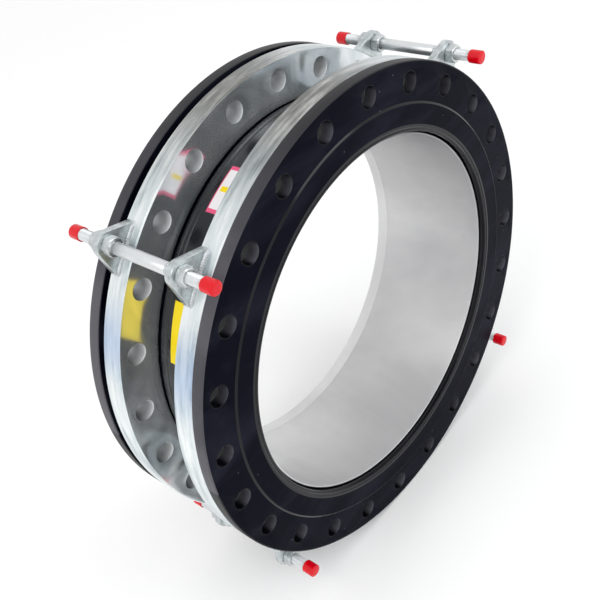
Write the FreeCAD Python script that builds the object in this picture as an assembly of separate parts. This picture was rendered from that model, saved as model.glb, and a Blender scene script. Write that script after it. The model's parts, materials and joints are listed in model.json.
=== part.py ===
"""Rubber expansion joint DN700 PN16: single arch, full-face rubber flanges,
loose steel backing rings, four tie rods and a steel flow liner.

Frame: origin at the centre of the rear sealing face, +X along the bore
towards the front face, +Z up.  Angles go from +Y towards +Z about +X.
"""
import FreeCAD, Part
import os
from math import acos, atan2, cos, degrees, radians, sin, sqrt, tan

V = FreeCAD.Vector
ORIGIN = V(0, 0, 0)
BORE_AXIS = V(1, 0, 0)

# Flange drilling, EN 1092 DN700 PN16
FLANGE_R = 455.0
BOLT_CIRCLE_R = 420.0
BOLT_COUNT = 24
BOLT_HOLE_R = 18.0
FIRST_HOLE = 7.5

# Stations along the bore, each as (start, end)
REAR_RUBBER = (0.0, 22.0)
REAR_RING = (36.0, 76.0)
FRONT_RING = (204.0, 244.0)
FRONT_RUBBER = (244.0, 266.0)
RAISED_HEIGHT = 2.0
RAISED_R = 388.0

# Rubber body
BORE_R = 337.0
NECK_R = 370.0
RING_BORE_R = 374.0
LIP_ROUND = 4.0
RUBBER_EDGE = 1.5
RING_CHAMFER = 2.0
BEAD_WIDTH = 14.0
BEAD_DEPTH = 11.0
BEAD_INSET = 14.0

# Arch: layer surfaces from the bore outwards as (neck radius, crest radius, half width)
ARCH_MID = 140.0
ARCH_GAP = 0.3
ARCH_POWER = 3.0
LAYERS = (
    (337.0, 354.0, 44.0),
    (345.0, 361.0, 49.0),
    (357.0, 371.5, 54.0),
    (370.0, 381.5, 60.0),
)
LAYER_NAMES = ("arch_inner_tube", "arch_fabric_plies", "arch_outer_cover")
ARCH_SAMPLES = 16

# Flow liner
LINER_R = 331.0
LINER_WALL = 3.5
LINER_FRONT = 256.0
LINER_REAR = 0.5
LINER_FLANGE_R = 388.0
LINER_FLANGE_THICK = 3.0

# Tie rods and lugs
ROD_ANGLES = (135.0, 45.0, 315.0, 225.0)
ROD_CIRCLE_R = 487.0
ROD_ENDS = (-31.2, 286.2)
SHANK_R = 10.4
SHANK = (71.6, 190.0)
THREAD_R = 10.0
ROD_TIP = 2.0
LUG_THICK = 14.0
LUG_END_R = 22.0
LUG_HALF_BASE = 45.0
LUG_HOLE_R = 11.0
REAR_LUG_X = 41.0
FRONT_LUG_X = 206.0
WELD_FRONT = 5.0
WELD_REAR = 3.0

# Nuts M20 and end caps
NUT_FLATS = 30.0
NUT_HEIGHT = 16.0
NUT_BORE_R = 10.05
SEAT_GAP = 0.3
CAP_R = 12.0
CAP_BORE_R = 10.05
CAP_LENGTH = 24.0
CAP_END = 2.5
CAP_DOME = 2.5

# Labels on the arch, each as (first angle, last angle, start, end)
LABEL_THICK = 0.6
LABEL_LIFT = 0.4
YELLOW_LABEL = (143.5, 159.5, 114.0, 166.0)
WHITE_LABEL = (108.3, 121.3, 114.0, 166.0)


def export(shape, name):
    """Check one node and write it."""
    if not shape.isValid():
        raise ValueError(name)
    shape.exportStep("parts/%s.step" % name)
    print("%-22s %2d solid(s) %12.0f mm3" % (name, len(shape.Solids), shape.Volume))


def at_angle(shape, angle):
    """Turn a shape drawn at +Z (90 degrees) to an angle about the bore."""
    turned = shape.copy()
    turned.rotate(ORIGIN, BORE_AXIS, angle - 90.0)
    return turned


def revolve(points, angle=360.0):
    """Solid of revolution about the bore from (x, radius) points."""
    corners = [V(x, 0, r) for x, r in points]
    wire = Part.makePolygon(corners + corners[:1])
    return Part.Face(wire).revolve(ORIGIN, BORE_AXIS, angle)


def tube(start, end, inner, outer):
    """Plain ring or tube on the bore axis."""
    return revolve([(start, inner), (end, inner), (end, outer), (start, outer)])


def drilled(shape, start, end):
    """The shape with the flange's bolt holes."""
    holes = []
    for index in range(BOLT_COUNT):
        hole = Part.makeCylinder(BOLT_HOLE_R, end - start, V(start, 0, BOLT_CIRCLE_R), BORE_AXIS)
        holes.append(at_angle(hole, FIRST_HOLE + 360.0 / BOLT_COUNT * index))
    return shape.cut(Part.makeCompound(holes))


def backing_ring(start, end):
    """Steel ring behind a rubber flange, with chamfered rims."""
    c = RING_CHAMFER
    ring = revolve([
        (start, RING_BORE_R + c), (start + c, RING_BORE_R),
        (end - c, RING_BORE_R), (end, RING_BORE_R + c),
        (end, FLANGE_R - c), (end - c, FLANGE_R),
        (start + c, FLANGE_R), (start, FLANGE_R - c),
    ])
    return drilled(ring, start - 1, end + 1)


def bead_span(neck_end, outwards):
    """Where the bead ring lies in a neck that ends at the arch."""
    inner = neck_end + BEAD_INSET * outwards
    return sorted((inner, inner + BEAD_WIDTH * outwards))


def rubber_flange(face, back, neck_end, raised):
    """Full-face rubber flange with its neck, from the sealing face inwards."""
    inwards = 1.0 if back > face else -1.0
    e = RUBBER_EDGE * inwards
    lip = LIP_ROUND * inwards
    points = [
        (face + lip, BORE_R), (neck_end, BORE_R), (neck_end, NECK_R), (back, NECK_R),
        (back, FLANGE_R - RUBBER_EDGE), (back - e, FLANGE_R),
        (face + e, FLANGE_R), (face, FLANGE_R - RUBBER_EDGE),
    ]
    if raised:
        top = face - RAISED_HEIGHT * inwards
        points[0] = (top + lip, BORE_R)
        points += [(face, RAISED_R), (top, RAISED_R - RAISED_HEIGHT), (top, BORE_R + LIP_ROUND)]
    else:
        step = face + LINER_FLANGE_THICK * inwards
        points[0] = (step, BORE_R)
        points += [(face, LINER_FLANGE_R), (step, LINER_FLANGE_R)]
    low, high = bead_span(neck_end, -inwards)
    groove = tube(low, high, NECK_R - BEAD_DEPTH, NECK_R + 5)
    body = revolve(points).cut(groove)
    return drilled(body, min(face, back) - 5, max(face, back) + 1)


def arch_surface(layer, angle):
    """Point (x, radius) on a layer surface; angle runs from 0 to 180 degrees."""
    neck, crest, half = LAYERS[layer]
    c = cos(radians(angle))
    s = sin(radians(angle))
    across = half * abs(c) ** (2 / ARCH_POWER) * (1 if c < 0 else -1)
    return ARCH_MID + across, neck + (crest - neck) * abs(s) ** (2 / ARCH_POWER)


def arch_radius(layer, x):
    """Radius of a layer surface over the arch at station x."""
    neck, crest, half = LAYERS[layer]
    rest = 1.0 - (abs(x - ARCH_MID) / half) ** ARCH_POWER
    return neck + (crest - neck) * rest ** (1 / ARCH_POWER)


def arch_edges(layer, backwards):
    """Edges of one layer surface, from end to end of the arch."""
    neck = LAYERS[layer][0]
    step = 90.0 / ARCH_SAMPLES
    halves = []
    for first in (0.0, 90.0):
        pts = [V(x, 0, r) for x, r in (arch_surface(layer, first + step * i)
                                       for i in range(ARCH_SAMPLES + 1))]
        curve = Part.BSplineCurve()
        curve.interpolate(pts)
        halves.append((pts[0], pts[-1], curve.toShape()))
    start = V(REAR_RING[1] + ARCH_GAP, 0, neck)
    end = V(FRONT_RING[0] - ARCH_GAP, 0, neck)
    edges = [Part.makeLine(start, halves[0][0]), halves[0][2], halves[1][2],
             Part.makeLine(halves[1][1], end)]
    return (edges[::-1] if backwards else edges), start, end


def arch_layer(layer):
    """One rubber or fabric layer of the arch."""
    inner, inner_start, inner_end = arch_edges(layer, False)
    outer, outer_start, outer_end = arch_edges(layer + 1, True)
    edges = inner + [Part.makeLine(inner_end, outer_end)] + outer
    edges.append(Part.makeLine(outer_start, inner_start))
    face = Part.Face(Part.Wire(Part.__sortEdges__(edges)))
    return face.revolve(ORIGIN, BORE_AXIS, 360)


def label(first, last, start, end):
    """Thin label that follows the outside of the arch."""
    steps = 12
    xs = [start + (end - start) * i / steps for i in range(steps + 1)]
    outer = len(LAYERS) - 1
    under = [(x, arch_radius(outer, x) + LABEL_LIFT) for x in xs]
    over = [(x, r + LABEL_THICK) for x, r in reversed(under)]
    return at_angle(revolve(under + over, last - first), first)


def lug(start):
    """Rounded triangular plate that stands on a backing ring's rim, at +Z."""
    base = sqrt(FLANGE_R ** 2 - LUG_HALF_BASE ** 2)
    rise = ROD_CIRCLE_R - base
    reach = sqrt(rise ** 2 + LUG_HALF_BASE ** 2)
    # From +Z to where a sloped side touches the round end, about the rod centre
    slope = atan2(LUG_HALF_BASE, -rise) - acos(LUG_END_R / reach)
    sides = []
    for sign in (-1, 1):
        y = sign * LUG_END_R * sin(slope)
        z = ROD_CIRCLE_R + LUG_END_R * cos(slope)
        sides.append(V(start, y, z))
    corners = [V(start, -LUG_HALF_BASE, base - 10), V(start, -LUG_HALF_BASE, base)]
    corners += [sides[0], sides[1]]
    corners += [V(start, LUG_HALF_BASE, base), V(start, LUG_HALF_BASE, base - 10)]
    plate = Part.Face(Part.makePolygon(corners + corners[:1])).extrude(V(LUG_THICK, 0, 0))
    end = Part.makeCylinder(LUG_END_R, LUG_THICK, V(start, 0, ROD_CIRCLE_R), BORE_AXIS)
    hole = Part.makeCylinder(LUG_HOLE_R, LUG_THICK + 2, V(start - 1, 0, ROD_CIRCLE_R), BORE_AXIS)
    rim = Part.makeCylinder(FLANGE_R, LUG_THICK + 2, V(start - 1, 0, 0), BORE_AXIS)
    return plate.fuse(end).cut(hole).cut(rim).removeSplitter()


def lug_welds(*sides):
    """Fillet welds along each lug's foot, one for each side given as (x, leg)."""
    half = degrees(LUG_HALF_BASE / FLANGE_R)
    beads = []
    for x, leg in sides:
        foot = [(x, FLANGE_R), (x + leg, FLANGE_R), (x, FLANGE_R + abs(leg))]
        for angle in ROD_ANGLES:
            beads.append(at_angle(revolve(foot, 2 * half), angle - half))
    return Part.makeCompound(beads)


def tie_rod():
    """Double-ended stud at +Z: plain shank between two M24 threads."""
    low, high = ROD_ENDS
    t = ROD_TIP
    points = [
        (low, 0), (low, THREAD_R - t), (low + t, THREAD_R), (SHANK[0], THREAD_R),
        (SHANK[0], SHANK_R), (SHANK[1], SHANK_R), (SHANK[1], THREAD_R),
        (high - t, THREAD_R), (high, THREAD_R - t), (high, 0),
    ]
    return turned_at_rod(points)


def turned_at_rod(points):
    """Solid of revolution about the rod axis at +Z from (x, radius) points."""
    corners = [V(x, 0, ROD_CIRCLE_R + r) for x, r in points]
    face = Part.Face(Part.makePolygon(corners + corners[:1]))
    return face.revolve(V(0, 0, ROD_CIRCLE_R), BORE_AXIS, 360)


def nut(start):
    """Hexagon nut M20 at +Z, chamfered on both faces."""
    corner_r = NUT_FLATS / sqrt(3)
    corners = []
    for index in range(7):
        a = radians(60 * index)
        corners.append(V(start, corner_r * cos(a), ROD_CIRCLE_R + corner_r * sin(a)))
    prism = Part.Face(Part.makePolygon(corners)).extrude(V(NUT_HEIGHT, 0, 0))
    end = start + NUT_HEIGHT
    flat_r = NUT_FLATS / 2 * 0.97
    drop = (corner_r + 1 - flat_r) * tan(radians(30))
    envelope = turned_at_rod([
        (start, NUT_BORE_R + 1), (start, flat_r), (start + drop, corner_r + 1),
        (end - drop, corner_r + 1), (end, flat_r), (end, NUT_BORE_R + 1),
        (end - 1, NUT_BORE_R), (start + 1, NUT_BORE_R),
    ])
    return prism.common(envelope)


def cap(closed, outwards):
    """Protective cap at +Z pushed over a rod end; closed is its outer end."""
    mouth = closed - CAP_LENGTH * outwards
    floor = closed - CAP_END * outwards
    points = [
        (mouth, CAP_BORE_R), (mouth, CAP_R), (closed - CAP_DOME * outwards, CAP_R),
        (closed - 0.8 * outwards, CAP_R - 2.0), (closed, CAP_R - 5.5), (closed, 0),
        (floor, 0), (floor, CAP_BORE_R),
    ]
    return turned_at_rod(points)


os.makedirs("parts", exist_ok=True)

export(backing_ring(*REAR_RING), "rear_backing_ring")
export(backing_ring(*FRONT_RING), "front_backing_ring")
export(rubber_flange(REAR_RUBBER[0], REAR_RUBBER[1], REAR_RING[1], False), "rear_rubber_flange")
export(rubber_flange(FRONT_RUBBER[1], FRONT_RUBBER[0], FRONT_RING[0], True), "front_rubber_flange")
for name, neck_end, outwards in (("rear_bead_ring", REAR_RING[1], -1),
                                 ("front_bead_ring", FRONT_RING[0], 1)):
    low, high = bead_span(neck_end, outwards)
    export(tube(low, high, NECK_R - BEAD_DEPTH, NECK_R), name)

for number, name in enumerate(LAYER_NAMES):
    export(arch_layer(number), name)
export(label(*YELLOW_LABEL), "yellow_label")
export(label(*WHITE_LABEL), "white_label")

liner_outer = LINER_R + LINER_WALL
export(tube(LINER_REAR, LINER_FRONT, LINER_R, liner_outer), "flow_liner")
export(tube(0, LINER_FLANGE_THICK, liner_outer, LINER_FLANGE_R), "liner_flange")

rear_sides = ((REAR_LUG_X, -WELD_REAR), (REAR_LUG_X + LUG_THICK, WELD_FRONT))
export(lug_welds(*rear_sides), "rear_lug_welds")
export(lug_welds((FRONT_LUG_X + LUG_THICK, WELD_FRONT)), "front_lug_welds")
for number, angle in enumerate(ROD_ANGLES, 1):
    pieces = {
        "rear_lug": lug(REAR_LUG_X),
        "front_lug": lug(FRONT_LUG_X),
        "tie_rod": tie_rod(),
        "rear_outer_nut": nut(REAR_LUG_X - SEAT_GAP - NUT_HEIGHT),
        "rear_inner_nut": nut(REAR_LUG_X + LUG_THICK + SEAT_GAP),
        "front_nut": nut(FRONT_LUG_X + LUG_THICK + SEAT_GAP),
        "rear_cap": cap(ROD_ENDS[0] - CAP_END - SEAT_GAP, -1),
        "front_cap": cap(ROD_ENDS[1] + CAP_END + SEAT_GAP, 1),
    }
    for name, shape in pieces.items():
        export(at_angle(shape, angle), "%s_%d" % (name, number))
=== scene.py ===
import json
from math import acos, atan2, cos, degrees, exp, pi, radians, sin, sqrt

import bmesh
import bpy
from mathutils import Matrix, Vector


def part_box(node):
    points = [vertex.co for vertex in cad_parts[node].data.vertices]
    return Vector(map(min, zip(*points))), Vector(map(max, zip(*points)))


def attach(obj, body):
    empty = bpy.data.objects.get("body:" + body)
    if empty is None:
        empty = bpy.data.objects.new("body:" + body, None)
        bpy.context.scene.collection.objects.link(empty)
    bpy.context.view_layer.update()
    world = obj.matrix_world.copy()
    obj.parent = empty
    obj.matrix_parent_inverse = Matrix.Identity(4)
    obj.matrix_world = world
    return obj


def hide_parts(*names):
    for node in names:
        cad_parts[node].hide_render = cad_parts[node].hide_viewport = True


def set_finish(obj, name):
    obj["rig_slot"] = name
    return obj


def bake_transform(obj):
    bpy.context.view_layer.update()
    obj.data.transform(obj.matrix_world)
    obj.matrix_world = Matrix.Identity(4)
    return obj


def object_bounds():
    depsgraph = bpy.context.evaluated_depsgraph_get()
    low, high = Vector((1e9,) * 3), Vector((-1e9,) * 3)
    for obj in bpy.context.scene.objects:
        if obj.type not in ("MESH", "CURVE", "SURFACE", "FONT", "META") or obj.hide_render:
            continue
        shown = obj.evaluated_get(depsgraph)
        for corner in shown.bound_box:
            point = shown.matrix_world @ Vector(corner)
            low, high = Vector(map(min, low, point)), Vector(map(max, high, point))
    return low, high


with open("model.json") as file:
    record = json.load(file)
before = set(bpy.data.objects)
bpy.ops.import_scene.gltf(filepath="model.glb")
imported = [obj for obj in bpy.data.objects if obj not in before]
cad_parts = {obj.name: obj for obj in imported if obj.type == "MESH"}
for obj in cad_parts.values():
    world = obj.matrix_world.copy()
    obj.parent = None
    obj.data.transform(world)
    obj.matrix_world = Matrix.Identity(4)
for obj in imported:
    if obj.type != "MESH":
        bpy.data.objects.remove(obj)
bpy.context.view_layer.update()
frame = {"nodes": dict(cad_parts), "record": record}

MM = 0.001

# ---------------------------------------------------------------- dimensions, mm


def span(node):
    """Start and end of a CAD node along the bore."""
    low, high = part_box(node)
    return low.x / MM, high.x / MM


MOUNTS = {m["name"]: m for m in frame["record"]["mounts"]}
BOLTS = MOUNTS["rear_bolts"]["dims"]
HOLE_COUNT = BOLTS["count"]
HOLE_CIRCLE = BOLTS["pcd_mm"] / 2
HOLE_R = BOLTS["hole_r_mm"]
HALF_SECTOR = 180.0 / HOLE_COUNT
FIRST_HOLE = 7.5
HOLE_ANGLES = [FIRST_HOLE + 2 * HALF_SECTOR * hole for hole in range(HOLE_COUNT)]
FLANGE_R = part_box("rear_backing_ring")[1].z / MM
REAR_RING = span("rear_backing_ring")
FRONT_RING = span("front_backing_ring")
FRONT_FACE = MOUNTS["front_bolts"]["pos_m"][0] / MM
RUBBER_THICK = FRONT_FACE - FRONT_RING[1]
RING_BORE = 374.0
RING_CHAMFER = 2.0
BORE_R = 337.0
NECK_R = 370.0
RAISED_R = 388.0
RAISED_HEIGHT = 2.0
RAISED_EDGE = (RAISED_R - 4, RAISED_R + 0.8)
LIP_WIDTH = 14.0
COLLAR_R = 388.0
COLLAR_THICK = 3.0
RIM_ROUND = 2.0
ARCH = span("arch_outer_cover")
ARCH_MID = (ARCH[0] + ARCH[1]) / 2
LINER = span("flow_liner")
LINER_R = 331.0
LINER_WALL = 3.5
WELD_LINE = 25.0
ROD_CIRCLE = 487.0
ROD_ANGLES = {1: 135.0, 2: 45.0, 3: 315.0, 4: 225.0}
ROD_ENDS = span("tie_rod_1")
THREAD_R = 10.0
SHANK_R = 10.4
SHANK = (71.6, 190.0)
PITCH = 2.5
THREAD_DEPTH = 1.45
LUG_THICK = span("rear_lug_1")[1] - span("rear_lug_1")[0]
LUG_HALF_BASE = 45.0
LUG_END_R = 22.0
LUG_HOLE_R = 11.0
WELD_LEG = 5.0
SMALL_WELD_LEG = 3.0
NUT_HEIGHT = span("front_nut_1")[1] - span("front_nut_1")[0]
NUT_HALF_FLATS = 15.0
NUT_BORE_R = 10.05
CAP_R = 12.0
CAP_BORE_R = 10.1

# ---------------------------------------------------------------- mesh tools


def build(name, verts, faces, materials, slot, face_materials=None, sharp=32.0, merge=0.0):
    """Mesh object from points in millimetres, smooth except at sharp edges."""
    mesh = bpy.data.meshes.new(name)
    mesh.from_pydata([Vector(v) * MM for v in verts], [], faces)
    if face_materials:
        mesh.polygons.foreach_set("material_index", face_materials)
    bm = bmesh.new()
    bm.from_mesh(mesh)
    bmesh.ops.remove_doubles(bm, verts=bm.verts, dist=max(merge, 0.002) * MM)
    bmesh.ops.recalc_face_normals(bm, faces=bm.faces)
    for face in bm.faces:
        face.smooth = True
    limit = radians(sharp)
    for edge in bm.edges:
        edge.smooth = len(edge.link_faces) != 2 or edge.calc_face_angle(0) < limit
    bm.to_mesh(mesh)
    bm.free()
    for material in materials:
        mesh.materials.append(material)
    piece = bpy.data.objects.new(name, mesh)
    bpy.context.scene.collection.objects.link(piece)
    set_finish(piece, slot)
    return piece


def copy_at(piece, name, angle):
    """Another piece with the same mesh, turned about the bore from +Z."""
    twin = bpy.data.objects.new(name, piece.data)
    bpy.context.scene.collection.objects.link(twin)
    twin["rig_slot"] = piece["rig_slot"]
    twin.matrix_world = Matrix.Rotation(radians(angle - 90), 4, "X")
    return twin


def rounded(points, radius=1.0, steps=4, closed=True):
    """Profile with its corners rounded. A third value of a point is its own radius."""
    out = []
    count = len(points)
    for i, point in enumerate(points):
        here = Vector(point[:2])
        r = point[2] if len(point) > 2 else radius
        if r <= 0 or (not closed and i in (0, count - 1)):
            out.append(tuple(here))
            continue
        a = Vector(points[i - 1][:2]) - here
        b = Vector(points[(i + 1) % count][:2]) - here
        turn = a.angle(b)
        if turn > pi - 0.02:
            out.append(tuple(here))
            continue
        reach = min(r / max(sin(turn / 2), 0.05) * cos(turn / 2),
                    a.length * 0.48, b.length * 0.48)
        start = here + a.normalized() * reach
        end = here + b.normalized() * reach
        for k in range(steps + 1):
            t = k / steps
            out.append(tuple(start * (1 - t) ** 2 + here * 2 * t * (1 - t) + end * t ** 2))
    return out


def on_bore(x, r, angle):
    """Point at a radius and an angle in degrees about the bore."""
    return x, r * cos(radians(angle)), r * sin(radians(angle))


def lathe_data(profile, segments, closed=True, centre=0.0, first=0.0):
    """Points and faces of a profile (x, radius) turned about the bore, or a line above it."""
    verts, faces = [], []
    for i in range(segments):
        angle = radians(first + 360.0 * i / segments)
        for x, r in profile:
            verts.append((x, r * cos(angle), centre + r * sin(angle)))
    n = len(profile)
    for i in range(segments):
        a, b = i * n, ((i + 1) % segments) * n
        for j in range(n if closed else n - 1):
            k = (j + 1) % n
            faces.append((a + j, b + j, b + k, a + k))
    return verts, faces


def join_data(*parts):
    """Several (points, faces) sets as one."""
    verts, faces = [], []
    for more_verts, more_faces in parts:
        base = len(verts)
        verts += more_verts
        faces += [tuple(v + base for v in f) for f in more_faces]
    return verts, faces


# Points along each curved side and each straight side of a bolt hole's sector
ARC_STEPS = 12
SIDE_STEPS = 8


def sector_border(r_in, r_out, middle):
    """Points (radius, angle) round the sector of a flange that holds one bolt hole."""
    border = []
    for k in range(ARC_STEPS):
        border.append((r_in, middle - HALF_SECTOR + 2 * HALF_SECTOR * k / ARC_STEPS))
    for k in range(SIDE_STEPS):
        border.append((r_in + (r_out - r_in) * k / SIDE_STEPS, middle + HALF_SECTOR))
    for k in range(ARC_STEPS):
        border.append((r_out, middle + HALF_SECTOR - 2 * HALF_SECTOR * k / ARC_STEPS))
    for k in range(SIDE_STEPS):
        border.append((r_out - (r_out - r_in) * k / SIDE_STEPS, middle - HALF_SECTOR))
    return border


def face_patch(x, r_in, r_out, hole_r):
    """Flat face of a flange between two radii, with a round opening at each bolt hole."""
    verts, faces = [], []
    for middle in HOLE_ANGLES:
        border = sector_border(r_in, r_out, middle)
        base = len(verts)
        n = len(border)
        for r, angle in border:
            verts.append(on_bore(x, r, angle))
        for r, angle in border:
            verts.append(hole_point(x, hole_r, middle, hole_turn(r, angle, middle)))
        for j in range(n):
            k = (j + 1) % n
            faces.append((base + j, base + k, base + n + k, base + n + j))
    return verts, faces


def hole_turn(r, angle, middle):
    """Direction of a border point seen from its hole's centre."""
    across = r * sin(radians(angle - middle))
    out = r * cos(radians(angle - middle)) - HOLE_CIRCLE
    return atan2(out, across)


def hole_point(x, hole_r, middle, turn):
    """Point on the edge of the bolt hole at an angle about the bore."""
    across = hole_r * cos(turn)
    out = HOLE_CIRCLE + hole_r * sin(turn)
    a = radians(middle)
    return x, out * cos(a) - across * sin(a), out * sin(a) + across * cos(a)


def hole_walls(profile, r_in, r_out):
    """Walls of the bolt holes from a profile of (x, hole radius).

    Their points line up with those of a face_patch between the same two radii.
    """
    verts, faces = [], []
    for middle in HOLE_ANGLES:
        border = sector_border(r_in, r_out, middle)
        turns = [hole_turn(r, angle, middle) for r, angle in border]
        base = len(verts)
        n = len(turns)
        for x, hole_r in profile:
            verts += [hole_point(x, hole_r, middle, t) for t in turns]
        for row in range(len(profile) - 1):
            for j in range(n):
                k = (j + 1) % n
                a, b = base + row * n, base + (row + 1) * n
                faces.append((a + j, a + k, b + k, b + j))
    return verts, faces


def drilled_flange(name, low, high, inner, rim, edge, materials, slot):
    """Flange drilled for bolts.

    inner and rim are open profiles from the low face to the high face. edge is the radius of
    the holes' edges. The materials are those of the faces, the holes, the rim and, as an
    optional fourth, the lips inside. The hole walls follow the low face's radii, so where the
    high face's differ their edges there miss each other by a hair.
    """
    r_in, r_out = inner[0][1], rim[0][1]
    r_in_high, r_out_high = inner[-1][1], rim[-1][1]
    segments = HOLE_COUNT * ARC_STEPS
    first = FIRST_HOLE - HALF_SECTOR
    steps = 4
    wall = []
    for k in range(steps + 1):
        a = pi / 2 * k / steps
        wall.append((low + edge * (1 - cos(a)), HOLE_R + edge * (1 - sin(a))))
    wall = wall + [(low + high - x, r) for x, r in reversed(wall)]
    inner_part = lathe_data(inner, segments, False, first=first)
    rim_part = lathe_data(rim, segments, False, first=first)
    parts = [inner_part, face_patch(low, r_in, r_out, HOLE_R + edge),
             face_patch(high, r_in_high, r_out_high, HOLE_R + edge),
             hole_walls(wall, r_in, r_out)]
    verts, faces = join_data(*parts, rim_part)
    marks = []
    for face in inner_part[1]:
        r = sum(sqrt(verts[v][1] ** 2 + verts[v][2] ** 2) for v in face) / len(face)
        lip = r < BORE_R + LIP_WIDTH or RAISED_EDGE[0] < r < RAISED_EDGE[1]
        marks.append(len(materials) - 1 if lip or len(materials) < 4 else 0)
    for index, part in zip((0, 0, 1, 2), (*parts[1:], rim_part)):
        marks += [index] * len(part[1])
    return build(name, verts, faces, materials, slot, marks, merge=0.05)


# ---------------------------------------------------------------- materials


class Shader:
    """A Principled material with a few procedural helpers."""

    def __init__(self, name, color, roughness, metallic=0.0, specular=0.5):
        self.material = bpy.data.materials.new(name)
        self.material.use_nodes = True
        self.tree = self.material.node_tree
        self.surface = self.tree.nodes["Principled BSDF"]
        self.set("Base Color", (*color, 1))
        self.set("Roughness", roughness)
        self.set("Metallic", metallic)
        self.set("Specular IOR Level", specular)
        self.coords = self.tree.nodes.new("ShaderNodeTexCoord").outputs["Object"]
        self.split = self.tree.nodes.new("ShaderNodeSeparateXYZ")
        self.link(self.coords, self.split.inputs[0])

    def set(self, socket, value):
        """Uniform value of a socket of the surface."""
        self.surface.inputs[socket].default_value = value

    def link(self, output, socket):
        self.tree.links.new(output, socket)

    def math(self, operation, a, b=0.0):
        """One sum; a and b are numbers or outputs."""
        node = self.tree.nodes.new("ShaderNodeMath")
        node.operation = operation
        for socket, value in zip(node.inputs, (a, b)):
            if isinstance(value, (int, float)):
                socket.default_value = value
            else:
                self.link(value, socket)
        return node.outputs[0]

    def step(self, value, low, high, start, end):
        """From start at low to end at high, smoothly."""
        node = self.tree.nodes.new("ShaderNodeMapRange")
        node.interpolation_type = "SMOOTHSTEP"
        limits = {"From Min": low, "From Max": high, "To Min": start, "To Max": end}
        for socket, number in limits.items():
            node.inputs[socket].default_value = number
        self.link(value, node.inputs["Value"])
        return node.outputs[0]

    def near_angle(self, middle, width):
        """1 at an angle about the bore, in degrees, falling to 0 at width away from it."""
        angle = self.math("ARCTAN2", self.split.outputs["Z"], self.split.outputs["Y"])
        away = self.math("ABSOLUTE", self.math("SUBTRACT", angle, radians(middle)))
        return self.step(away, 0.0, radians(width), 1.0, 0.0)

    def facing(self, low, high):
        """1 on walls that face up and to the -Y side, towards the key lamp, 0 on those that face
        away; a mask for painted light.
        """
        geometry = self.tree.nodes.new("ShaderNodeNewGeometry")
        normal = self.tree.nodes.new("ShaderNodeSeparateXYZ")
        self.link(geometry.outputs["Normal"], normal.inputs[0])
        amount = self.math("SUBTRACT", self.math("MULTIPLY", normal.outputs["Z"], 0.55),
                           self.math("MULTIPLY", normal.outputs["Y"], 0.83))
        return self.step(amount, low, high, 0.0, 1.0)

    def vector(self, x, y, z):
        """Object coordinates with each axis scaled."""
        node = self.tree.nodes.new("ShaderNodeCombineXYZ")
        for axis, scale in zip("XYZ", (x, y, z)):
            self.link(self.math("MULTIPLY", self.split.outputs[axis], scale), node.inputs[axis])
        return node.outputs[0]

    def noise(self, vector, scale=1.0, detail=4.0, roughness=0.6, distortion=0.0):
        """Cloudy pattern from 0 to 1."""
        node = self.tree.nodes.new("ShaderNodeTexNoise")
        values = {"Scale": scale, "Detail": detail, "Roughness": roughness,
                  "Distortion": distortion}
        for socket, number in values.items():
            node.inputs[socket].default_value = number
        self.link(vector, node.inputs["Vector"])
        return node.outputs["Fac"]

    def cells(self, vector, scale):
        """Pattern of scattered points."""
        node = self.tree.nodes.new("ShaderNodeTexVoronoi")
        node.inputs["Scale"].default_value = scale
        self.link(vector, node.inputs["Vector"])
        return node

    def ramp(self, factor, stops):
        """Colour ramp; each stop is (position, value or colour)."""
        node = self.tree.nodes.new("ShaderNodeValToRGB")
        elements = node.color_ramp.elements
        while len(elements) < len(stops):
            elements.new(0.5)
        for element, (position, value) in zip(elements, stops):
            element.position = position
            color = (value,) * 3 if isinstance(value, (int, float)) else value
            element.color = (*color, 1)
        self.link(factor, node.inputs[0])
        return node.outputs["Color"]

    def mix(self, factor, a, b):
        """Colour between a and b; each is a colour or an output."""
        node = self.tree.nodes.new("ShaderNodeMix")
        node.data_type = "RGBA"
        for socket, value in ((node.inputs["Factor"], factor), (node.inputs["A"], a),
                              (node.inputs["B"], b)):
            if isinstance(value, tuple):
                socket.default_value = (*value, 1)
            else:
                self.link(value, socket)
        return node.outputs["Result"]

    def color(self, output):
        """Base colour from an output."""
        self.link(output, self.surface.inputs["Base Color"])

    def rough(self, factor, low, high):
        """Roughness from low to high along a pattern."""
        node = self.tree.nodes.new("ShaderNodeMapRange")
        node.inputs["To Min"].default_value = low
        node.inputs["To Max"].default_value = high
        self.link(factor, node.inputs["Value"])
        self.link(node.outputs[0], self.surface.inputs["Roughness"])

    def bump(self, height, strength, distance):
        """Relief from a pattern."""
        node = self.tree.nodes.new("ShaderNodeBump")
        node.inputs["Strength"].default_value = strength
        node.inputs["Distance"].default_value = distance
        self.link(height, node.inputs["Height"])
        self.link(node.outputs[0], self.surface.inputs["Normal"])


def black_rubber():
    """Moulded face: near black, satin, with smears and a few specks of dust."""
    s = Shader("moulded_rubber", (0.001, 0.0013, 0.005), 0.4, specular=0.03)
    smear = s.noise(s.vector(4.0, 3.0, 9.0), 1.0, 5.0, 0.6, 0.8)
    specks = s.cells(s.coords, 26.0)
    dust = s.ramp(specks.outputs["Distance"], [(0.0, 1.0), (0.045, 0.0)])
    tone = s.mix(s.ramp(smear, [(0.45, 0.0), (0.75, 1.0)]),
                 (0.0006, 0.0009, 0.0055), (0.013, 0.014, 0.024))
    s.color(s.mix(s.math("MULTIPLY", dust, 0.35), tone, (0.35, 0.37, 0.42)))
    s.rough(smear, 0.28, 0.52)
    s.bump(s.noise(s.coords, 900.0, 3.0), 0.12, 0.0006)
    return s.material


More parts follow.
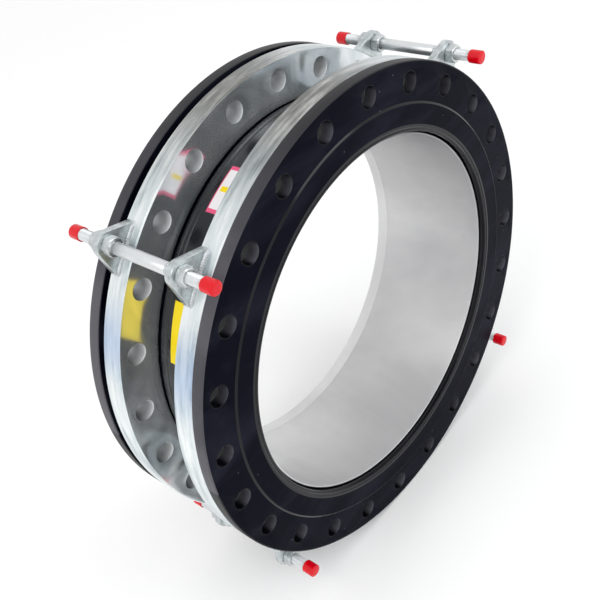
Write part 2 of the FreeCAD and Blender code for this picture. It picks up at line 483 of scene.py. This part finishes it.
def satin_rubber(name, dark, light, specular, low, high, where=None):
    """Rubber of rims, hole walls and lips; where says what part gets painted light: left is the
    rim's side towards the key lamp, lit is the walls that face it.
    """
    s = Shader(name, dark, (low + high) / 2, specular=specular)
    bands = s.noise(s.vector(260.0, 3.0, 3.0), 1.0, 4.0, 0.6)
    patches = s.noise(s.vector(6.0, 7.0, 7.0), 1.0, 4.0, 0.55)
    amount = s.ramp(patches, [(0.35, 0.0), (0.7, 1.0)])
    if where == "left":
        # Painted light: the rim is lighter around 160 degrees, the side the key lamp lights.
        amount = s.math("MULTIPLY", s.math("ADD", amount, 0.6), s.near_angle(160.0, 75.0))
    elif where == "lit":
        # Painted light: walls that face up and to -Y, towards the key lamp, are lighter.
        amount = s.math("MULTIPLY", s.math("ADD", amount, 0.5), s.facing(0.35, 1.0))
    s.color(s.mix(amount, dark, light))
    s.rough(bands, low, high)
    s.bump(bands, 0.10, 0.0008)
    return s.material


def arch_rubber():
    """Outside of the arch: smooth glossy black."""
    s = Shader("arch_rubber", (0.008, 0.009, 0.012), 0.25, specular=0.45)
    smear = s.noise(s.vector(3.0, 8.0, 8.0), 1.0, 5.0, 0.6, 0.5)
    s.color(s.mix(smear, (0.005, 0.006, 0.008), (0.016, 0.017, 0.020)))
    s.rough(smear, 0.18, 0.36)
    s.bump(s.noise(s.coords, 500.0, 3.0), 0.10, 0.0006)
    return s.material


def ring_face_steel():
    """Flat face of a backing ring: galvanised, almost a mirror."""
    s = Shader("ring_face_steel", (0.62, 0.66, 0.69), 0.14, metallic=0.84)
    clouds = s.noise(s.coords, 7.0, 5.0, 0.6, 0.8)
    fine = s.noise(s.coords, 45.0, 4.0, 0.6, 0.3)
    tone = s.mix(s.ramp(clouds, [(0.32, 0.0), (0.68, 1.0)]),
                 (0.44, 0.49, 0.52), (0.94, 0.95, 0.95))
    s.color(s.mix(s.math("MULTIPLY", fine, 0.35), tone, (0.62, 0.68, 0.72)))
    s.rough(clouds, 0.08, 0.20)
    s.bump(s.noise(s.coords, 25.0, 1.0), 0.03, 0.0008)
    return s.material


def hole_steel(name, level):
    """Wall of a backing ring's bolt holes, with painted light on walls that face up and to -Y and
    painted shade on the rest; level sets how bright it is, low for a copy in painted shade.
    """
    s = Shader(name, (0.85, 0.87, 0.88), 0.5, metallic=0.35)
    clouds = s.noise(s.coords, 60.0, 4.0)
    lit = s.mix(clouds, (0.74 * level, 0.78 * level, 0.80 * level),
                (0.98 * level, 0.99 * level, level))
    shade = (0.12 * level, 0.13 * level, 0.14 * level)
    s.color(s.mix(s.facing(-0.6, 0.95), shade, lit))
    s.rough(clouds, 0.35, 0.6)
    s.bump(s.noise(s.vector(600.0, 60.0, 60.0), 1.0, 3.0), 0.15, 0.0005)
    return s.material


def ring_rim_steel():
    """Rim of a backing ring: streaky zinc, with painted shade near the top and painted light
    lower down.
    """
    s = Shader("ring_rim_steel", (0.75, 0.78, 0.80), 0.3, metallic=0.9)
    lines = s.noise(s.vector(90.0, 9.0, 9.0), 1.0, 5.0, 0.65)
    patches = s.noise(s.vector(12.0, 7.0, 7.0), 1.0, 4.0, 0.6, 0.4)
    streaks = s.math("ADD", s.math("MULTIPLY", lines, 0.6), s.math("MULTIPLY", patches, 0.4))
    bright = s.ramp(streaks, [(0.36, (0.36, 0.42, 0.45)), (0.47, (0.66, 0.72, 0.74)),
                              (0.60, (0.86, 0.89, 0.89))])
    # Painted shade: darker tones used around the top of the rim.
    shaded_tone = s.ramp(streaks, [(0.36, (0.10, 0.10, 0.10)), (0.50, (0.22, 0.22, 0.21)),
                            (0.62, (0.50, 0.50, 0.49))])
    bluish = s.mix(s.math("MULTIPLY", s.near_angle(154.0, 12.0), 0.5), bright, (0.30, 0.45, 0.72))
    # Painted light and shade: the rim is darker around 95 degrees and lighter elsewhere.
    s.color(s.mix(s.near_angle(95.0, 36.0), bluish, shaded_tone))
    s.rough(lines, 0.22, 0.45)
    s.bump(lines, 0.15, 0.0006)
    return s.material


def zinc(name, color, low, high, dark=0.72):
    """Zinc-plated steel of the rods, nuts, lugs and welds."""
    s = Shader(name, color, (low + high) / 2, metallic=0.85)
    clouds = s.noise(s.coords, 60.0, 5.0, 0.62, 0.3)
    shade = tuple(c * dark for c in color)
    s.color(s.mix(s.ramp(clouds, [(0.3, 0.0), (0.65, 1.0)]), shade, color))
    s.rough(clouds, low, high)
    s.bump(s.noise(s.coords, 700.0, 3.0), 0.15, 0.0004)
    return s.material


def liner_steel():
    """Stainless sheet rolled into a tube, with painted shade towards its upper rear and painted
    light lower down.
    """
    s = Shader("liner_steel", (0.72, 0.73, 0.74), 0.38, metallic=0.9)
    brushed = s.noise(s.vector(30.0, 4.0, 4.0), 1.0, 5.0, 0.65)
    clouds = s.noise(s.vector(3.0, 5.0, 5.0), 1.0, 4.0, 0.6, 0.5)
    patches = s.ramp(clouds, [(0.3, 0.0), (0.7, 1.0)])
    bright = s.mix(patches, (0.60, 0.60, 0.61), (0.76, 0.76, 0.76))
    # Painted shade: darker tones towards the upper rear of the tube.
    shaded_tone = s.mix(patches, (0.13, 0.12, 0.135), (0.21, 0.20, 0.215))
    # Painted shade around 85 degrees, painted light lower down.
    s.color(s.mix(s.near_angle(85.0, 98.0), bright, shaded_tone))
    both = s.math("ADD", s.math("MULTIPLY", clouds, 0.5), s.math("MULTIPLY", brushed, 0.5))
    s.rough(both, 0.30, 0.52)
    s.bump(brushed, 0.08, 0.0008)
    return s.material


def cap_plastic():
    """Soft red plastic of the rods' caps."""
    s = Shader("cap_plastic", (0.62, 0.0, 0.006), 0.28, specular=0.35)
    grain = s.noise(s.coords, 160.0, 3.0)
    s.color(s.mix(grain, (0.52, 0.0, 0.006), (0.78, 0.0, 0.010)))
    s.rough(grain, 0.16, 0.32)
    s.bump(grain, 0.14, 0.0012)
    return s.material


def film(name, color, other):
    """Printed film of the labels."""
    s = Shader(name, color, 0.35, specular=0.5)
    grain = s.noise(s.coords, 40.0, 4.0)
    s.color(s.mix(grain, color, other))
    s.rough(grain, 0.28, 0.45)
    s.bump(s.noise(s.coords, 220.0, 2.0), 0.06, 0.0005)
    return s.material


def cord_fabric():
    """Woven cord inside the arch."""
    s = Shader("cord_fabric", (0.40, 0.37, 0.31), 0.85, specular=0.2)
    cords = s.noise(s.vector(500.0, 160.0, 160.0), 1.0, 2.0)
    s.color(s.mix(cords, (0.30, 0.28, 0.23), (0.50, 0.46, 0.39)))
    s.bump(cords, 0.5, 0.001)
    return s.material


RUBBER = black_rubber()
# Rim rubber with painted light on its side towards the key lamp.
RUBBER_RIM = satin_rubber("rubber_rim", (0.010, 0.010, 0.013), (0.085, 0.082, 0.095),
                          0.25, 0.38, 0.55, "left")
# Hole-wall rubber with painted light on the walls that face the key lamp.
RUBBER_HOLE = satin_rubber("rubber_hole", (0.002, 0.002, 0.004), (0.10, 0.10, 0.12),
                           0.2, 0.22, 0.42, "lit")
RUBBER_LIP = satin_rubber("rubber_lip", (0.001, 0.001, 0.003), (0.008, 0.008, 0.011),
                          0.24, 0.10, 0.18)
ARCH_RUBBER = arch_rubber()
RING_FACE = ring_face_steel()
# The front ring's hole walls are a darker copy: painted shade from the rubber flange in front of
# them.
RING_HOLES = {"rear": hole_steel("hole_steel", 1.0), "front": hole_steel("shaded_hole_steel", 0.2)}
RING_RIM = ring_rim_steel()
LUG_STEEL = zinc("lug_steel", (0.66, 0.71, 0.72), 0.20, 0.42, 0.55)
ROD_STEEL = zinc("rod_steel", (0.74, 0.76, 0.77), 0.30, 0.44, 0.90)
NUT_STEEL = zinc("nut_steel", (0.68, 0.71, 0.72), 0.18, 0.38, 0.60)
WELD_STEEL = zinc("weld_steel", (0.60, 0.63, 0.65), 0.30, 0.60)
BEAD_STEEL = zinc("bead_steel", (0.35, 0.33, 0.30), 0.40, 0.60)
LINER_STEEL = liner_steel()
RED = cap_plastic()
YELLOW = film("yellow_film", (0.97, 0.75, 0.002), (0.93, 0.69, 0.002))
WHITE = film("white_film", (0.90, 0.88, 0.89), (0.84, 0.80, 0.82))
PINK = film("pink_film", (0.86, 0.10, 0.24), (0.78, 0.08, 0.20))
PLIES = cord_fabric()
RUBBER_SET = [RUBBER, RUBBER_HOLE, RUBBER_RIM, RUBBER_LIP]

# ---------------------------------------------------------------- flanges


def rubber_rim(low, high):
    """Rim profile of a rubber flange."""
    foot = FLANGE_R - 2.2
    points = [(low, foot, 0), (low, FLANGE_R), (high, FLANGE_R), (high, foot, 0)]
    return rounded(points, RIM_ROUND, 4, False)


def chamfered(low, high, r, chamfer):
    """Profile of a ring's bore or rim; a positive chamfer widens its ends."""
    depth = abs(chamfer)
    points = [(low, r + chamfer), (low + depth, r), (high - depth, r), (high, r + chamfer)]
    return rounded(points, 0.4, 3, False)


for end, (low, high), body in (("rear", REAR_RING, "rear_ring"),
                               ("front", FRONT_RING, "front_end")):
    piece = drilled_flange("ring_" + end, low, high,
                           chamfered(low, high, RING_BORE, RING_CHAMFER),
                           chamfered(low, high, FLANGE_R, -RING_CHAMFER), 1.2,
                           [RING_FACE, RING_HOLES[end], RING_RIM], "galvanised_steel")
    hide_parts(end + "_backing_ring")
    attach(piece, body)

# Front rubber flange: raised sealing ring and a double lip round the bore
top = FRONT_FACE + RAISED_HEIGHT
neck_end = FRONT_RING[0]
front_inner = [
    (FRONT_RING[1], NECK_R + 2.5, 0), (FRONT_RING[1], NECK_R, 1.5), (neck_end, NECK_R, 0.5),
    (neck_end, BORE_R, 0.5), (top - 6, BORE_R, 3), (top - 1.0, BORE_R + 0.8, 2),
    (top - 0.2, BORE_R + 4.0, 1.5), (top - 1.5, BORE_R + 6.5, 1), (top - 0.2, BORE_R + 9.0, 1.2),
    (top - 0.4, BORE_R + 13, 2), (top - 0.3, RAISED_R - 5.5, 1.5), (top, RAISED_R - 3.2, 1),
    (FRONT_FACE, RAISED_R, 0.8), (FRONT_FACE, RAISED_R + 1.5, 0),
]
piece = drilled_flange("front_flange_rubber", FRONT_RING[1], FRONT_FACE,
                       rounded(front_inner, 1, 4, False), rubber_rim(FRONT_RING[1], FRONT_FACE),
                       0.9, RUBBER_SET, "black_rubber")
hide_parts("front_rubber_flange")
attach(piece, "front_end")

# Rear rubber flange: recessed for the liner's collar, with room round it.
recess_r, recess_end, neck_split = 388.3, 3.2, 30.0
rear_inner = [
    (0.0, recess_r + 2.2, 0), (0.0, recess_r, 0.3), (recess_end, recess_r, 0.3),
    (recess_end, BORE_R, 0.5), (neck_split, BORE_R, 0), (REAR_RING[1], BORE_R, 0.5),
    (REAR_RING[1], NECK_R, 1.0), (RUBBER_THICK, NECK_R, 2.0), (RUBBER_THICK, NECK_R + 3.0, 0),
]
piece = drilled_flange("rear_flange_rubber", 0.0, RUBBER_THICK,
                       rounded(rear_inner, 1, 4, False), rubber_rim(0.0, RUBBER_THICK),
                       2.0, RUBBER_SET, "black_rubber")
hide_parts("rear_rubber_flange")
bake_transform(piece)

# ---------------------------------------------------------------- arch

# Radius at the necks, radius at the crest and half width, from the bore's surface outwards
SURFACES = ((337.0, 354.0, 44.0), (345.0, 361.0, 49.0), (357.0, 371.5, 54.0),
            (369.6, 381.5, 60.0))
OUTER = len(SURFACES) - 1
# Two fine moulded ridges near the rear foot, mirrored near the front one
RIDGES = (92.5, 103.5)
RIDGE_HEIGHT = 1.0
RIDGE_WIDTH = 0.9
ROUGH_STEP = 3.0
FINE_STEP = 0.55
LAYER_GAP = 0.1


def arch_radius(layer, x):
    """Radius of one of the arch's surfaces at a place along the bore."""
    neck, crest, half = SURFACES[layer]
    across = min(abs(x - ARCH_MID) / half, 1.0)
    r = neck + (crest - neck) * (1 - across ** 3) ** (1 / 3)
    if layer == OUTER:
        for ridge in RIDGES:
            for centre in (ridge, 2 * ARCH_MID - ridge):
                r += RIDGE_HEIGHT * exp(-((x - centre) / RIDGE_WIDTH) ** 2)
    return r


def arch_profile(layer, step):
    """Profile of a surface of the arch from its rear foot to its front foot."""
    count = int((ARCH[1] - ARCH[0]) / step)
    xs = [ARCH[0] + (ARCH[1] - ARCH[0]) * i / count for i in range(count + 1)]
    return [(x, arch_radius(layer, x)) for x in xs]


for layer, (node, material, slot) in enumerate((
        ("arch_inner_tube", RUBBER, "black_rubber"), ("arch_fabric_plies", PLIES, "fabric_cord"),
        ("arch_outer_cover", ARCH_RUBBER, "black_rubber"))):
    step = FINE_STEP if layer + 1 == OUTER else ROUGH_STEP
    inner = [(x, r + LAYER_GAP) for x, r in arch_profile(layer, ROUGH_STEP)]
    profile = inner + list(reversed(arch_profile(layer + 1, step)))
    verts, faces = lathe_data(profile, 192)
    piece = build(node.replace("arch_", "bellows_"), verts, faces, [material], slot, sharp=50)
    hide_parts(node)
    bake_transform(piece)

# ---------------------------------------------------------------- labels


LABEL_X = (114.0, 166.0)
LABEL_LIFT = 0.35
LABEL_THICK = 0.5


def label_sheet(name, angles, materials, slot, paint):
    """Thin sheet on the arch; paint gives a material index for a cell at (0..1, 0..1)."""
    rows, columns = 26, 36
    verts, faces, marks = [], [], []
    for side in (LABEL_LIFT, LABEL_LIFT + LABEL_THICK):
        for i in range(rows + 1):
            x = LABEL_X[0] + (LABEL_X[1] - LABEL_X[0]) * i / rows
            for j in range(columns + 1):
                angle = angles[0] + (angles[1] - angles[0]) * j / columns
                verts.append(on_bore(x, arch_radius(OUTER, x) + side, angle))
    row = columns + 1
    layer = (rows + 1) * row
    for i in range(rows):
        for j in range(columns):
            a = i * row + j
            faces.append((a, a + 1, a + row + 1, a + row))
            marks.append(0)
            faces.append(tuple(layer + v for v in (a, a + row, a + row + 1, a + 1)))
            marks.append(paint((i + 0.5) / rows, (j + 0.5) / columns))
    border = list(range(row)) + [i * row + columns for i in range(1, rows + 1)]
    border += [rows * row + j for j in range(columns - 1, -1, -1)]
    border += [i * row for i in range(rows - 1, 0, -1)]
    for a, b in zip(border, border[1:] + border[:1]):
        faces.append((a, layer + a, layer + b, b))
        marks.append(0)
    piece = build(name, verts, faces, materials, slot, marks, sharp=60)
    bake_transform(piece)
    return piece


def white_paint(u, v):
    """White label: pink border and a yellow bar along its rear half."""
    if u < 0.03 or u > 0.97 or v < 0.07 or v > 0.93:
        return 1
    return 2 if abs(v - 0.50) < 0.06 and 0.12 < u < 0.5 else 0


piece = label_sheet("label_yellow", (143.5, 159.5), [YELLOW], "yellow_film", lambda u, v: 0)
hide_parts("yellow_label")
piece = label_sheet("label_white", (108.3, 121.3), [WHITE, PINK, YELLOW], "white_film",
                    white_paint)
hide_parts("white_label")

# ---------------------------------------------------------------- liner and bead rings

# The tube has a low weld bead round its inside; the profile is split just before it.
low, high = LINER
liner_outer = LINER_R + LINER_WALL
bead_start, bead_height = 18, 0.7
liner_profile = rounded([(low, liner_outer), (low, LINER_R, 1.2), (bead_start, LINER_R, 0),
                         (high, LINER_R, 1.2), (high, liner_outer, 1.2)], 0.6, 4)
bead = [(WELD_LINE + k * 0.5, LINER_R - bead_height * cos(pi / 2 * k / 4)) for k in range(-4, 5)]
split = [i for i, p in enumerate(liner_profile) if abs(p[0] - bead_start) < 0.01][0]
liner_profile = liner_profile[:split + 1] + bead + liner_profile[split + 1:]
verts, faces = lathe_data(liner_profile, 256)
piece = build("liner_tube", verts, faces, [LINER_STEEL], "stainless_steel")
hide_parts("flow_liner")
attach(piece, "rear_end")

profile = rounded([(0.0, liner_outer + 0.05), (COLLAR_THICK, liner_outer + 0.05),
                   (COLLAR_THICK, COLLAR_R), (0.0, COLLAR_R)], 0.5, 3)
verts, faces = lathe_data(profile, 192)
piece = build("liner_collar", verts, faces, [LINER_STEEL], "stainless_steel")
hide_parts("liner_flange")
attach(piece, "rear_end")

for end in ("rear", "front"):
    node = frame["nodes"][end + "_bead_ring"]
    node.data.materials.clear()
    node.data.materials.append(BEAD_STEEL)

# ---------------------------------------------------------------- rods


def thread_radius(x, turn):
    """Radius of a thread's surface: pointed ridges with small flats."""
    phase = (x / PITCH - turn / (2 * pi)) % 1.0
    height = min(max(abs(phase - 0.5) * 2 * 1.15 - 0.06, 0.0), 1.0)
    return THREAD_R - THREAD_DEPTH * height


def rod_mesh():
    """Rod at +Z: thread at both ends with chamfered tips, plain shank between."""
    around = 28
    rows = []
    step = PITCH / 9
    low, high = ROD_ENDS
    x = low
    while x < SHANK[0]:
        rows.append((x, "thread"))
        x += step
    rows += [(SHANK[0], THREAD_R), (SHANK[0] + 0.05, SHANK_R - 0.5), (SHANK[0] + 0.6, SHANK_R),
             (SHANK[1] - 0.6, SHANK_R), (SHANK[1] - 0.05, SHANK_R - 0.5), (SHANK[1], THREAD_R)]
    x = SHANK[1] + step
    while x < high:
        rows.append((x, "thread"))
        x += step
    rows.append((high, "thread"))
    verts, faces = [], []
    for x, kind in rows:
        limit = min(THREAD_R, THREAD_R - 2.0 + (x - low), THREAD_R - 2.0 + (high - x))
        for k in range(around):
            turn = 2 * pi * k / around
            r = min(thread_radius(x, turn), limit) if kind == "thread" else kind
            verts.append((x, r * cos(turn), ROD_CIRCLE + r * sin(turn)))
    for i in range(len(rows) - 1):
        for k in range(around):
            n = (k + 1) % around
            a, b = i * around, (i + 1) * around
            faces.append((a + k, a + n, b + n, b + k))
    faces.append(tuple(range(around)))
    faces.append(tuple(range((len(rows) - 1) * around, len(rows) * around)))
    return build("rod_source", verts, faces, [ROD_STEEL], "zinc_plated_steel", sharp=50)


def nut_mesh(name, start):
    """Hexagon nut with chamfered ends and a countersunk bore."""
    around, height, sink = 96, NUT_HEIGHT, 1.2
    corner = NUT_HALF_FLATS / cos(pi / 6)
    flat_r = NUT_HALF_FLATS * 0.97
    slope = 0.577  # tangent of the 30 degree chamfer
    depth = (corner - flat_r) * slope
    levels = [0.0, depth * 0.25, depth * 0.5, depth * 0.75, depth]
    levels = levels + [height - z for z in reversed(levels)]
    bore = NUT_BORE_R
    verts, faces = [], []

    def ring(z, radii):
        base = len(verts)
        for k in range(around):
            a = 2 * pi * k / around
            verts.append((start + z, radii[k] * cos(a), ROD_CIRCLE + radii[k] * sin(a)))
        return base

    def side(k):
        a = (2 * pi * k / around) % (pi / 3) - pi / 6
        return min(NUT_HALF_FLATS / cos(a), corner - 0.35)

    rings = [ring(sink, [bore] * around), ring(0.0, [bore + sink] * around),
             ring(0.0, [flat_r - 0.4] * around)]
    for z in levels:
        cone = flat_r + min(z, height - z) / slope
        rings.append(ring(z, [min(side(k), cone) for k in range(around)]))
    rings += [ring(height, [flat_r - 0.4] * around), ring(height, [bore + sink] * around),
              ring(height - sink, [bore] * around)]
    for a, b in zip(rings, rings[1:] + rings[:1]):
        for k in range(around):
            n = (k + 1) % around
            faces.append((a + k, a + n, b + n, b + k))
    return build(name, verts, faces, [NUT_STEEL], "zinc_plated_steel", sharp=24)


def cap_mesh(name, mouth, closed):
    """Push-on cap: thin wall, soft rim and a slightly domed end."""
    out = 1 if closed > mouth else -1
    wall, axis = 2.4, 0.01
    profile = rounded([
        (mouth, CAP_BORE_R, 0.5), (mouth, CAP_R - 0.1, 0.8), (mouth + 4 * out, CAP_R, 0),
        (closed - 1.8 * out, CAP_R, 2.2), (closed - 0.1 * out, 7.5, 5.0), (closed, axis, 0),
        (closed - wall * out, axis, 0), (closed - wall * out, CAP_BORE_R, 0.6),
    ], 1.0, 6)
    verts, faces = lathe_data(profile, 48, centre=ROD_CIRCLE)
    return build(name, verts, faces, [RED], "red_plastic", sharp=40)


def lug_mesh(name, start):
    """Lug plate with softened edges, standing on the rim at +Z."""
    soft, most_length = 1.0, 5
    base = sqrt(FLANGE_R ** 2 - LUG_HALF_BASE ** 2)
    rise = ROD_CIRCLE - base
    reach = sqrt(rise ** 2 + LUG_HALF_BASE ** 2)
    slope = atan2(LUG_HALF_BASE, -rise) - acos(LUG_END_R / reach)
    outline = []
    for k in range(-12, 13):
        a = slope * k / 12
        outline.append((LUG_END_R * sin(a), ROD_CIRCLE + LUG_END_R * cos(a)))
    foot = radians(90) - atan2(base, LUG_HALF_BASE)
    for k in range(25):
        a = foot * (1 - 2 * k / 24)
        outline.append((FLANGE_R * sin(a), FLANGE_R * cos(a)))
    dense = []
    for (y0, z0), (y1, z1) in zip(outline, outline[1:] + outline[:1]):
        count = max(1, int(sqrt((y1 - y0) ** 2 + (z1 - z0) ** 2) / most_length))
        dense += [(y0 + (y1 - y0) * k / count, z0 + (z1 - z0) * k / count)
                  for k in range(count)]
    verts, faces = [], []
    n = len(dense)

    def inset(amount):
        """Outline drawn in towards the rod, except along the ring's rim."""
        points = []
        for y, z in dense:
            dz = z - ROD_CIRCLE
            length = sqrt(y * y + dz * dz)
            shrink = (length - amount) / length
            keep = z < FLANGE_R + 1 and abs(sqrt(y ** 2 + z ** 2) - FLANGE_R) < 0.5
            points.append((y, z) if keep else (y * shrink, ROD_CIRCLE + dz * shrink))
        return points

    def circle(r):
        """Circle about the rod with a point facing each point of the outline."""
        points = []
        for y, z in dense:
            length = sqrt(y * y + (z - ROD_CIRCLE) ** 2)
            points.append((r * (y / length), ROD_CIRCLE + r * ((z - ROD_CIRCLE) / length)))
        return points

    def loop(x, points):
        first = len(verts)
        verts.extend((x, y, z) for y, z in points)
        return first

    end = start + LUG_THICK
    loops = [loop(start + 1, circle(LUG_HOLE_R)), loop(start, circle(LUG_HOLE_R + 1)),
             loop(start, inset(soft)), loop(start + soft * 0.3, inset(soft * 0.3)),
             loop(start + soft, dense), loop(end - soft, dense),
             loop(end - soft * 0.3, inset(soft * 0.3)), loop(end, inset(soft)),
             loop(end, circle(LUG_HOLE_R + 1)), loop(end - 1, circle(LUG_HOLE_R))]
    for a, b in zip(loops, loops[1:] + loops[:1]):
        for k in range(n):
            m = (k + 1) % n
            faces.append((a + k, a + m, b + m, b + k))
    return build(name, verts, faces, [LUG_STEEL], "galvanised_steel", sharp=30, merge=0.01)


def weld_beads(name, sides):
    """Rippled fillet welds along the feet of the lugs.

    Each side is (x, leg); a negative leg lies towards -X.
    """
    half = degrees(LUG_HALF_BASE / FLANGE_R)
    along, around = 120, 10
    parts = []
    for angle in ROD_ANGLES.values():
        for x, size in sides:
            out = 1 if size > 0 else -1
            verts, faces = [], []
            for i in range(along + 1):
                t = i / along
                a = angle - half + 2 * half * t
                ripple = 1 + 0.04 * sin(t * 2 * pi * 23) + 0.03 * sin(t * 37.3 + angle)
                taper = min(1.0, 8 * t + 0.35, 8 * (1 - t) + 0.35)
                r = abs(size) * ripple * taper
                for k in range(around + 1):
                    b = pi / 2 * k / around
                    verts.append(on_bore(x + out * r * cos(b), FLANGE_R - 0.1 + r * sin(b), a))
                verts.append(on_bore(x - out * 0.2, FLANGE_R - 0.3, a))
            row = around + 2
            for i in range(along):
                for k in range(row):
                    m = (k + 1) % row
                    first, second = i * row, (i + 1) * row
                    faces.append((first + k, first + m, second + m, second + k))
            faces.append(tuple(range(row)))
            faces.append(tuple(range(along * row, (along + 1) * row)))
            parts.append((verts, faces))
    verts, faces = join_data(*parts)
    return build(name, verts, faces, [WELD_STEEL], "galvanised_steel", sharp=60)


def spread(source, name, node, body=None):
    """One copy of a source piece at each rod, riding on body or on its own node's body."""
    for number, angle in ROD_ANGLES.items():
        twin = copy_at(source, "%s_%d" % (name, number), angle)
        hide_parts("%s_%d" % (node, number))
        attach(twin, body if body else "%s_%d" % (node, number))
    bpy.data.objects.remove(source)


spread(rod_mesh(), "rod", "tie_rod", "rear_ring")
for node in ("rear_outer_nut", "rear_inner_nut", "front_nut"):
    spread(nut_mesh("nut_source", span(node + "_1")[0]), "hex_" + node, node)
low, high = span("rear_cap_1")
spread(cap_mesh("cap_source", high, low), "red_cap_rear", "rear_cap")
low, high = span("front_cap_1")
spread(cap_mesh("cap_source", low, high), "red_cap_front", "front_cap")
spread(lug_mesh("lug_source", span("rear_lug_1")[0]), "plate_rear", "rear_lug", "rear_ring")
spread(lug_mesh("lug_source", span("front_lug_1")[0]), "plate_front", "front_lug", "front_end")

low, high = span("rear_lug_1")
piece = weld_beads("welds_rear", ((low, -SMALL_WELD_LEG), (high, WELD_LEG)))
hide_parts("rear_lug_welds")
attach(piece, "rear_ring")
piece = weld_beads("welds_front", ((span("front_lug_1")[1], WELD_LEG),))
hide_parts("front_lug_welds")
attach(piece, "front_end")

# ---------------------------------------------------------------- stage, light, camera

# From here on in metres
FLOOR_HALF = 9
FLOOR_GAP = 0.001
LIGHT_TARGET = (0.13, 0, 0)
CAMERA_LENS = 51.70
CAMERA_SENSOR = 36.0
CAMERA_PLACE = (1.0638, -0.8687, 1.0392)
CAMERA_RIGHT = (0.7519, 0.6264, -0.2055)
CAMERA_BACK = (0.5920, -0.5047, 0.6283)

floor_mesh = bpy.data.meshes.new("floor")
floor_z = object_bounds()[0].z - FLOOR_GAP
corners = [(FLOOR_HALF * x, FLOOR_HALF * y, floor_z)
           for x, y in ((-1, -1), (1, -1), (1, 1), (-1, 1))]
floor_mesh.from_pydata(corners, [], [(0, 1, 2, 3)])
floor = bpy.data.objects.new("floor", floor_mesh)
bpy.context.scene.collection.objects.link(floor)
pale = Shader("pale_floor", (0.97, 0.97, 0.97), 0.9, specular=0.1)
floor_mesh.materials.append(pale.material)

world = bpy.data.worlds.new("studio")
bpy.context.scene.world = world
world.use_nodes = True
background = world.node_tree.nodes["Background"]
background.inputs["Color"].default_value = (1.0, 1.0, 1.0, 1)
background.inputs["Strength"].default_value = 0.97


def area_light(name, place, size, power, color=(1, 1, 1)):
    """Rectangular lamp turned to the middle of the joint."""
    lamp = bpy.data.lights.new(name, "AREA")
    lamp.shape = "RECTANGLE"
    lamp.size, lamp.size_y = size
    lamp.energy = power
    lamp.color = color
    thing = bpy.data.objects.new(name, lamp)
    thing.location = place
    towards = Vector(LIGHT_TARGET) - Vector(place)
    thing.rotation_euler = towards.to_track_quat("-Z", "Y").to_euler()
    bpy.context.scene.collection.objects.link(thing)


area_light("key", (0.6, -2.4, 2.6), (1.6, 1.6), 26)
area_light("fill", (2.6, 1.2, 1.6), (1.5, 1.5), 20, (0.93, 0.97, 1.0))

camera_data = bpy.data.cameras.new("camera")
camera_data.sensor_width = CAMERA_SENSOR
camera_data.lens = CAMERA_LENS
camera_data.clip_start = 0.05
camera = bpy.data.objects.new("camera", camera_data)
right = Vector(CAMERA_RIGHT).normalized()
back = Vector(CAMERA_BACK).normalized()
up = back.cross(right).normalized()
right = up.cross(back)
turn = Matrix((right, up, back)).transposed().to_4x4()
camera.matrix_world = Matrix.Translation(CAMERA_PLACE) @ turn
bpy.context.scene.collection.objects.link(camera)
bpy.context.scene.camera = camera
bpy.context.scene.view_settings.view_transform = "Standard"
